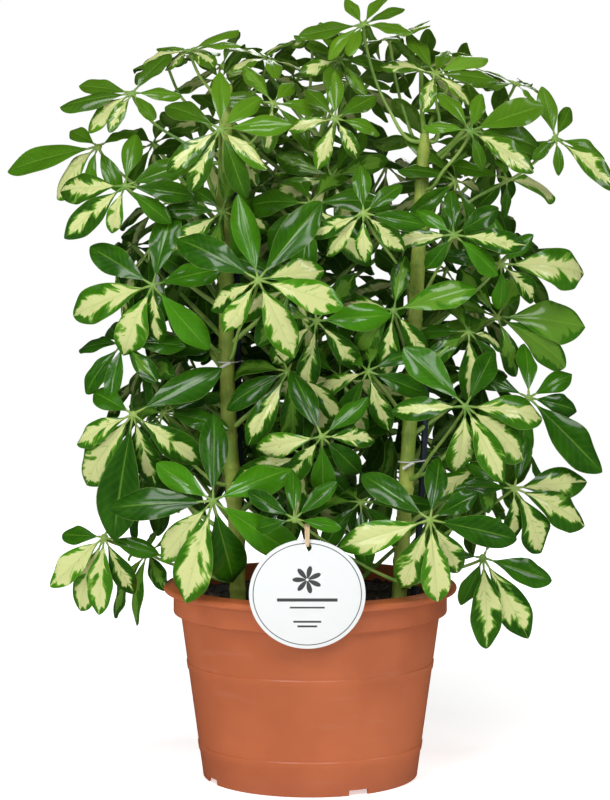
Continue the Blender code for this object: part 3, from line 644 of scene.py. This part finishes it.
def blade(tip, sections, hub, dice):
    """A leaflet's blade points, bent along its solid's line."""
    stops = [blade_base(hub, sections)] + [s[0] for s in sections[1:]] + [tip]
    width = max(s[3] for s in sections)
    length = sum(float(np.linalg.norm(b - a)) for a, b in zip(stops, stops[1:]))
    path, _ = smooth_line([(p, k / (len(stops) - 1)) for k, p in enumerate(stops)], BLADE_STEPS)
    ahead = np.gradient(path, axis=0)
    ahead /= np.linalg.norm(ahead, axis=1)[:, None]
    side0 = sections[0][1]
    frames = []
    for k in range(BLADE_STEPS):
        side0 = side0 - ahead[k] * side0.dot(ahead[k])
        side0 /= np.linalg.norm(side0)
        frames.append(side0)
    side = np.array(frames)
    lift = np.cross(ahead, side)
    row = down * (BLADE_STEPS - 1)
    low = np.clip(row.astype(int), 0, BLADE_STEPS - 2)
    mix = (row - low)[:, None]
    centre = path[low] * (1 - mix) + path[low + 1] * mix
    side = side[low] * (1 - mix) + side[low + 1] * mix
    lift = lift[low] * (1 - mix) + lift[low + 1] * mix
    twist = (dice.uniform(-0.35, 0.35) * down**1.5)[:, None]
    side, lift = side * np.cos(twist) + lift * np.sin(twist), lift * np.cos(twist) - side * np.sin(twist)
    fullness = dice.uniform(0.80, 0.97)
    blunt = dice.uniform(0.52, 0.72)
    outline = np.sin(np.pi * down ** dice.uniform(1.16, 1.42)).clip(0) ** (0.9 - (0.9 - blunt) * down)
    outline = np.maximum(outline, 0.03 * (1 - down))
    half = width / 2 * fullness * outline
    edge = np.abs(across)
    ripple = 2 * np.pi * (dice.uniform(1.4, 2.6) * down + dice.random())
    wave = np.sin(ripple + np.sign(across) * dice.uniform(0, 1.5))
    fold = dice.uniform(0.12, 0.52) * (1 - 0.5 * down)
    arch = dice.uniform(0.15, 0.6)
    height = half * (fold * edge - arch * edge**2 * (0.4 + down) + 0.13 * wave * edge**2)
    height -= 0.45 * MM * np.exp(-((across / 0.10) ** 2)) * np.sin(np.pi * down.clip(0, 1))
    droop = dice.uniform(-0.04, 0.14) * length * (down**3)
    return centre + side * (across * half)[:, None] + lift * (height - droop)[:, None]


def veined(name, under):
    """The leaf skin, upper or lower: green or cream-centred by the leaflet's own attributes."""
    skin = Finish(name, Specular_IOR_Level=0.15 if under else 0.10, Coat_Roughness=0.14)
    x, along, _ = skin.xyz(skin.node("ShaderNodeUVMap", {"uv_map": "blade"}))
    side = x * 2 - 1
    out = abs(side)
    cream = skin.node("ShaderNodeAttribute", {"attribute_name": "cream"}, output="Fac")
    # The leaflet's seed value is its random tone, scaled down on inner leaves as painted shade.
    seed_and_shade = skin.node("ShaderNodeAttribute", {"attribute_name": "seed_and_shade"}, output="Fac")
    vein = along - out * 0.20
    half = side.rise(-0.02, 0.02)
    coarse = skin.noise(skin.join(vein * 3.6, seed_and_shade * 61.0 + half * 9.0, out * 0.7), 1.0, 2.0)
    fine = skin.noise(skin.join(vein * 17.0, seed_and_shade * 23.0 + half * 5.0, out * 1.6), 1.0, 3.0)
    border = 0.52 + (seed_and_shade - 0.5) * 0.35 + (coarse - 0.5) * 2.4 + (fine - 0.5) * 0.75
    border = border - along.rise(0.70, 1.0) * 0.6
    pale = (border - out).rise(-0.02, 0.05) * cream.rise(0.25, 0.45)
    middle = (border - out).rise(-0.22, 0.02) * cream.rise(0.05, 0.4)
    fleck = fine.rise(0.60, 0.66) * coarse.rise(0.42, 0.55)
    shade = skin.noise(skin.join(side, along * 2.0, seed_and_shade * 40.0), 1.4, 2.0)
    deep, fresh = (0.009, 0.055, 0.0012), (0.058, 0.235, 0.003)
    if under:
        deep, fresh = (0.020, 0.085, 0.004), (0.095, 0.24, 0.014)
    high = skin.xyz(skin.place())[2].rise(0.42, 0.60)
    # A low seed value gives deep green, so the scaled-down inner leaves are darker as painted shade.
    green = skin.blend(shade.rise(0.3, 0.7) * 0.22 + seed_and_shade * seed_and_shade * 0.78, deep, fresh)
    green = skin.blend(high * (0.26 + seed_and_shade * 0.44), green, (0.135, 0.260, 0.012))
    tone = skin.blend(middle, green, (0.20, 0.36, 0.07) if under else (0.17, 0.35, 0.035))
    tone = skin.blend(pale, tone, (0.50, 0.55, 0.22) if under else (0.57, 0.61, 0.255))
    tone = skin.blend(pale * fleck * 0.75, tone, (0.26, 0.42, 0.09))
    rib = out.rise(0.075, 0.02) * along.rise(1.0, 0.75)
    tone = skin.blend(rib * (0.34 - pale * 0.2), tone, (0.20, 0.40, 0.04))
    rim = out.rise(0.955, 0.995)
    tone = skin.blend(rim * 0.35, tone, (0.30, 0.42, 0.10))
    lateral = ((vein * 62.0 + coarse * 2.0).sine() * 0.5 + 0.5) ** 3.0
    relief = lateral * 0.30 + out.rise(0.0, 0.12) * 0.5 + shade * 0.25 + coarse * 0.9
    skin.wear(
        Base_Color=skin.blend(lateral * 0.035, tone, (0.22, 0.42, 0.05)),
        Roughness=(0.42 if under else 0.26) + shade * 0.16,
        Coat_Weight=0.0 if under else 0.25 + shade * 0.5,
        Normal=skin.bump(relief, 0.35, 0.0007 if under else 0.0010),
    )
    return skin.material


upper_skin, lower_skin = veined("leaf_upper", False), veined("leaf_under", True)
stalk = Finish("leaf_stalk", 0.42)
spot = stalk.place()
patch = stalk.noise(spot, 45.0)
stalk.wear(
    Base_Color=stalk.blend(patch.rise(0.3, 0.7), (0.11, 0.24, 0.028), (0.26, 0.39, 0.075)),
    Roughness=0.36 + patch * 0.15,
    Normal=stalk.bump(stalk.noise(spot, 420.0), 0.2, 0.0005),
)


def leaf_piece(
    name, hub, facing, petiole, leaflets, dice, creamy, foot, pale_turns=None, faint=0.0, shadow=1.0
):
    """One leaf: its blades with a thin edge, its stalks and its petiole, as one object. pale_turns are
    the directions, in degrees round its face from the right, of its cream-centred leaflets. faint is how
    yellow the others are, and shadow below 1 darkens its green as painted shade."""
    right = np.cross([0, 0, 1], facing)
    right /= np.linalg.norm(right)
    up = np.cross(facing, right)
    points, faces, uv, cream, seeds_and_shade = [], [], [], [], []
    bars = []
    for tip, sections in leaflets:
        aim = (tip - hub) / np.linalg.norm(tip - hub)
        # a leaflet that hangs is cream-centred more often than one that stands up
        chance = creamy + (0.32 if aim[2] < -0.15 else 0.02 if aim[2] < 0.25 else -0.40)
        strength = 1.0 if dice.random() < chance else (0.22 if dice.random() < 0.3 else 0.0)
        if pale_turns is not None:
            turn = math.degrees(math.atan2(aim.dot(up), aim.dot(right)))
            off = min((abs((turn - other + 180) % 360 - 180) for other in pale_turns), default=180)
            strength = 1.0 if off < 13 else faint
        faces += [tuple(k + len(points) for k in reversed(face)) for face in blank_faces]
        points += list(blade(tip, sections, hub, dice))
        uv += list(np.stack([across / 2 + 0.5, down], axis=1))
        cream += [strength] * len(down)
        # Each leaflet's random tone, scaled down by shadow as painted shade.
        seeds_and_shade += [dice.random() * shadow] * len(down)
        start, first = blade_base(hub, sections), sections[1][0]
        into = start + (first - start) * 0.22
        root = hub + facing * 0.3 * MM
        rise = root + (start - root) * 0.55 + facing * 0.5 * MM
        bars.append(([root, rise, start, into], [1.3, 1.0, 0.95, 0.35], 7, 6))
    blades = linked(name, points, faces)
    layer = blades.data.uv_layers.new(name="blade")
    for corner in blades.data.loops:
        layer.data[corner.index].uv = uv[corner.vertex_index]
    for key, values in (("cream", cream), ("seed_and_shade", seeds_and_shade)):
        blades.data.attributes.new(key, "FLOAT", "POINT").data.foreach_set("value", values)
    for material in (upper_skin, lower_skin, stalk.material):
        blades.data.materials.append(material)
    wall = blades.modifiers.new("thickness", "SOLIDIFY")
    wall.thickness, wall.offset = BLADE_THICKNESS, -1
    wall.material_offset, wall.use_even_offset = 1, False
    apply_all(blades)
    line = [hub - facing * 0.2 * MM, *petiole, foot]
    swell = [1.9] + [1.25] * (len(line) - 3) + [1.7, 2.3]
    bars.append((line, swell, 34, 9))
    points, faces = [], []
    for stops, radii, steps, sides in bars:
        path, radius = smooth_line([(p, r * MM) for p, r in zip(stops, radii)], steps)
        more, around = bar_mesh(path, radius, sides)
        faces += [tuple(k + len(points) for k in face) for face in around]
        points += more
    start_fresh()
    bpy.ops.mesh.primitive_uv_sphere_add(segments=14, ring_count=9, radius=1)
    knob = bpy.context.object
    axes = np.stack([right * 3.1 * MM, up * 3.1 * MM, facing * 1.9 * MM], axis=1)
    shell = Matrix.Translation(hub) @ Matrix(axes.tolist()).to_4x4()
    knob.data.transform(shell)
    knob.data.materials.append(stalk.material)
    stalks = linked(name + "_stalks", points, faces)
    stalks.data.materials.append(stalk.material)
    start_fresh()
    for part in (stalks, knob, blades):
        part.select_set(True)
    bpy.context.view_layer.objects.active = blades
    bpy.ops.object.join()
    return blades


def spread(hub, facing, length, count, dice):
    """Leaflets set evenly round a hub: each a tip and its sections, as a leaf solid gives them."""
    right = np.cross([0, 0, 1], facing)
    right /= np.linalg.norm(right)
    up = np.cross(facing, right)
    first = dice.uniform(0, 2 * math.pi)
    young = min(max((hub[2] - 0.48) / 0.1, 0), 1)
    leaflets = []
    for k in range(count):
        turn = first + (k + dice.uniform(-0.18, 0.18)) * 2 * math.pi / count
        radial = right * math.cos(turn) + up * math.sin(turn)
        side = np.cross(facing, radial)
        size = length * dice.uniform(0.8, 1.08)
        width = size * dice.uniform(0.36, 0.44)
        bend, curl = dice.uniform(0.0, 0.5) - young * 0.5, dice.uniform(0.15, 0.75)
        point, before, sections = hub + radial * 3.6 * MM, 0.0, []
        for part, breadth in ((0.13, 0.06), (0.34, 0.8), (0.58, 1.0), (0.83, 0.66), (1.0, 0.0)):
            angle = bend + curl * (part + before) / 2
            ahead = radial * math.cos(angle) - facing * math.sin(angle)
            point = point + ahead * size * (part - before)
            lift = radial * math.sin(angle) + facing * math.cos(angle)
            sections.append((point, side, lift, width * breadth))
            before = part
        leaflets.append((point, sections[:-1]))
    return leaflets


def nearest_stem(point):
    """The point on the nearest stem's middle line."""
    best = None
    for path in stem_axes.values():
        k = int(np.linalg.norm(path - point, axis=1).argmin())
        gap = float(np.linalg.norm(path[k] - point))
        if best is None or gap < best[0]:
            best = (gap, path[k])
    return best[1]


# The directions of some outer leaves' cream-centred leaflets, in degrees round the leaf's face from the
# right. The cream-centred leaflets of a leaf that isn't listed are drawn at random.
cream_turns = {
    "leaf_01": (-108, -136), "leaf_02": (196, -112, -83, -56), "leaf_03": (-2, -33, -60, -97, 180),
    "leaf_04": (14, -14, -62, -125, 202), "leaf_05": (192, -120, -90), "leaf_06": (202, -134, -76, -34),
    "leaf_07": (-40, -118, -145), "leaf_08": (186, -112, -60), "leaf_09": (-38, -90, -138, 200),
    "leaf_10": (-4, 182), "leaf_11": (-26,), "leaf_12": (-36,), "leaf_13": (2,), "leaf_14": (),
    "leaf_17": (), "leaf_21": (-148, -112), "leaf_22": (214,), "leaf_23": (-146, 180, -112),
    "leaf_24": (-142, -120, -96, -64), "leaf_25": (), "leaf_26": (-20, 6, -56, -84),
    "leaf_27": (-56, -82), "leaf_28": (2, -34), "leaf_29": (), "leaf_30": (-52, -98, 168),
    "leaf_31": (188, 2, -130), "leaf_33": (), "leaf_34": (),
}
yellowish = ("leaf_25", "leaf_29", "leaf_30")
dice = random.Random(23)
plans = {}
for node in sorted(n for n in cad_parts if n.startswith("leaf_")):
    hub, facing, petiole, leaflets = plans[node] = leaf_plan(node)
    foot = nearest_stem(petiole[-1])
    creamy = 0.42 if facing[1] < -0.35 else 0.22
    faint = 0.25 if node in yellowish else 0.0
    piece = leaf_piece(
        node.replace("leaf", "rosette"), hub, facing, petiole, leaflets, dice, creamy, foot,
        cream_turns.get(node), faint,
    )
    finished(piece, None, "leaf", node, smooth=60)

# Inner leaves: smaller leaves that fill the plant between and behind the outer ones, each on a short
# petiole from the nearest stem. Their hubs keep clear of one another and of the tall stems' front.
# The inner leaves' green is darkened as painted shade, through a shadow below 1.
HUB_GAP = 0.030
STEM_REACH = 0.016  # from a stem's middle line to a hub at the least
taken = [plan[0] for plan in plans.values()]
spots = [
    (-0.014, -0.050, 0.402), (-0.018, -0.055, 0.335), (-0.006, -0.055, 0.268), (0.046, -0.060, 0.336),
    (0.000, -0.040, 0.468), (-0.150, -0.030, 0.356), (-0.118, -0.030, 0.300), (0.126, -0.040, 0.366),
    (0.040, -0.064, 0.232), (-0.070, -0.046, 0.462), (0.116, -0.020, 0.486), (-0.130, 0.000, 0.430),
]
INNER_LEAVES = 92
inner = 0
while inner < INNER_LEAVES:
    given = spots[inner] if inner < len(spots) else None
    height = given[2] if given else dice.uniform(0.205, 0.588)
    reach = float(np.interp(height, [0.20, 0.30, 0.46, 0.54, 0.60], [0.135, 0.150, 0.165, 0.145, 0.085]))
    hub = np.array(given or (dice.uniform(-reach, reach + 0.012), dice.uniform(-0.02, 0.140), height))
    # nothing is left before the two tall stems, so that they show from the front
    before_stem = hub[1] < 0.03 and min(abs(hub[0] + 0.062), abs(hub[0] - 0.085)) < 0.042
    crowded = min(float(np.linalg.norm(hub - other)) for other in taken) < HUB_GAP
    if not given and (before_stem or crowded):
        continue
    stem = nearest_stem(hub - np.array([0, 0, 0.03]))
    out = hub - stem
    if not given and np.hypot(out[0], out[1]) < STEM_REACH:
        continue
    out[2] = 0
    out /= np.linalg.norm(out)
    front = min(max((0.03 - hub[1]) / 0.06, 0), 1)
    facing = out * (0.7 - 0.4 * front) + np.array([0, -0.75 * front, 0.35 + 0.5 * dice.random()])
    facing += np.array([dice.uniform(-0.2, 0.2), dice.uniform(-0.2, 0.2), 0])
    facing /= np.linalg.norm(facing)
    length = float(np.interp(height, [0.45, 0.58], [0.060, 0.040])) * dice.uniform(0.85, 1.1)
    leaflets = spread(hub, facing, length, dice.choice((6, 7, 7, 8)), dice)
    hides_stem = any(
        p[1] < 0 and 0.29 < p[2] < 0.55 and min(abs(p[0] + 0.067), abs(p[0] - 0.086)) < 0.014
        for tip, sections in leaflets for p in (tip, *(section[0] for section in sections))
    )
    if hides_stem and not given:
        continue
    foot = nearest_stem(hub - np.array([0, 0, 0.02 + 0.45 * np.hypot(*(hub - stem)[:2])]))
    knee = foot * 0.45 + hub * 0.55 - facing * 9 * MM
    creamy = 0.22 if height > 0.46 else -0.02 if height > 0.3 else -0.2
    name = f"inner_{inner:02d}"
    # shadow darkens an inner leaf's green as painted shade, for its place deep inside the plant.
    piece = leaf_piece(name, hub, facing, [knee], leaflets, dice, creamy, foot, shadow=0.55)
    finished(piece, None, "leaf", smooth=60)
    taken.append(hub)
    inner += 1

# Floor and light: a plain pale floor that pales towards its edges, and a white surround. Two large lamps
# above the front and one to its left light it softly, with weaker ones at each side and behind.
start_fresh()
bpy.ops.mesh.primitive_plane_add(size=3.4, location=(0, 0, 0))
floor = bpy.context.object
floor.name = "studio_floor"
FLOOR_GLOW, EDGE_GLOW = 0.53, 0.86
paper = Finish("studio_white", 0.9)
x, y, _ = paper.xyz(paper.place())
outer = ((x * x + y * y) ** 0.5).rise(0.5, 1.5)
glow = paper.blend(outer, (FLOOR_GLOW,) * 3, (EDGE_GLOW,) * 3)
paper.wear(Base_Color=(0.93, 0.93, 0.93), Emission_Color=glow, Emission_Strength=1.0)
floor.data.materials.append(paper.material)
floor.visible_glossy = False

# The strength of the surround as a light, as seen by the camera, and what is taken off in reflections.
SURROUND_LIGHT, SURROUND_SEEN, MIRRORED_CUT = 0.17, 1.0, -0.14
world = bpy.data.worlds.new("studio")
bpy.context.scene.world = world
world.use_nodes = True
sky = world.node_tree.nodes["Background"]
sky.inputs["Color"].default_value = (1, 1, 1, 1)
sight = world.node_tree.nodes.new("ShaderNodeLightPath")
bright = world.node_tree.nodes.new("ShaderNodeMapRange")
bright.inputs["To Min"].default_value = SURROUND_LIGHT
bright.inputs["To Max"].default_value = SURROUND_SEEN
world.node_tree.links.new(sight.outputs["Is Camera Ray"], bright.inputs["Value"])
mirrored = world.node_tree.nodes.new("ShaderNodeMath")
mirrored.operation = "MULTIPLY_ADD"
mirrored.inputs[1].default_value = MIRRORED_CUT
world.node_tree.links.new(sight.outputs["Is Glossy Ray"], mirrored.inputs[0])
world.node_tree.links.new(bright.outputs["Result"], mirrored.inputs[2])
world.node_tree.links.new(mirrored.outputs["Value"], sky.inputs["Strength"])


def lamp(name, place, aim, size, power):
    """A round lamp turned towards a point."""
    data = bpy.data.lights.new(name, "AREA")
    data.shape, data.size, data.energy = "DISK", size, power
    made = bpy.data.objects.new(name, data)
    made.location = place
    made.rotation_euler = (Vector(aim) - Vector(place)).to_track_quat("-Z", "Y").to_euler()
    bpy.context.scene.collection.objects.link(made)


lamp("lamp_top", (-0.7, -1.3, 2.1), (0, 0, 0.38), 0.9, 19)
lamp("lamp_high", (0.6, -1.7, 1.9), (0, 0, 0.38), 0.8, 15)
lamp("lamp_front", (-1.2, -2.2, 1.2), (0, 0, 0.30), 1.1, 22)
lamp("lamp_left", (-2.0, -0.5, 1.1), (0, 0, 0.35), 0.7, 1)
lamp("lamp_right", (2.0, -0.4, 1.2), (0, 0, 0.35), 0.7, 8)
lamp("lamp_back", (0.3, 1.8, 1.6), (0, 0, 0.45), 1.0, 11)

eye = bpy.data.objects.new("camera", bpy.data.cameras.new("camera"))
bpy.context.scene.collection.objects.link(eye)
eye.data.sensor_fit, eye.data.sensor_height = "VERTICAL", 36
eye.data.lens = 114.6
eye.location = (0, -2.07, 0.475)
eye.rotation_euler = (Vector((-0.0043, 0, 0.3085)) - eye.location).to_track_quat("-Z", "Y").to_euler()
bpy.context.scene.camera = eye
bpy.context.scene.view_settings.view_transform = "Standard"

bpy.context.view_layer.update()
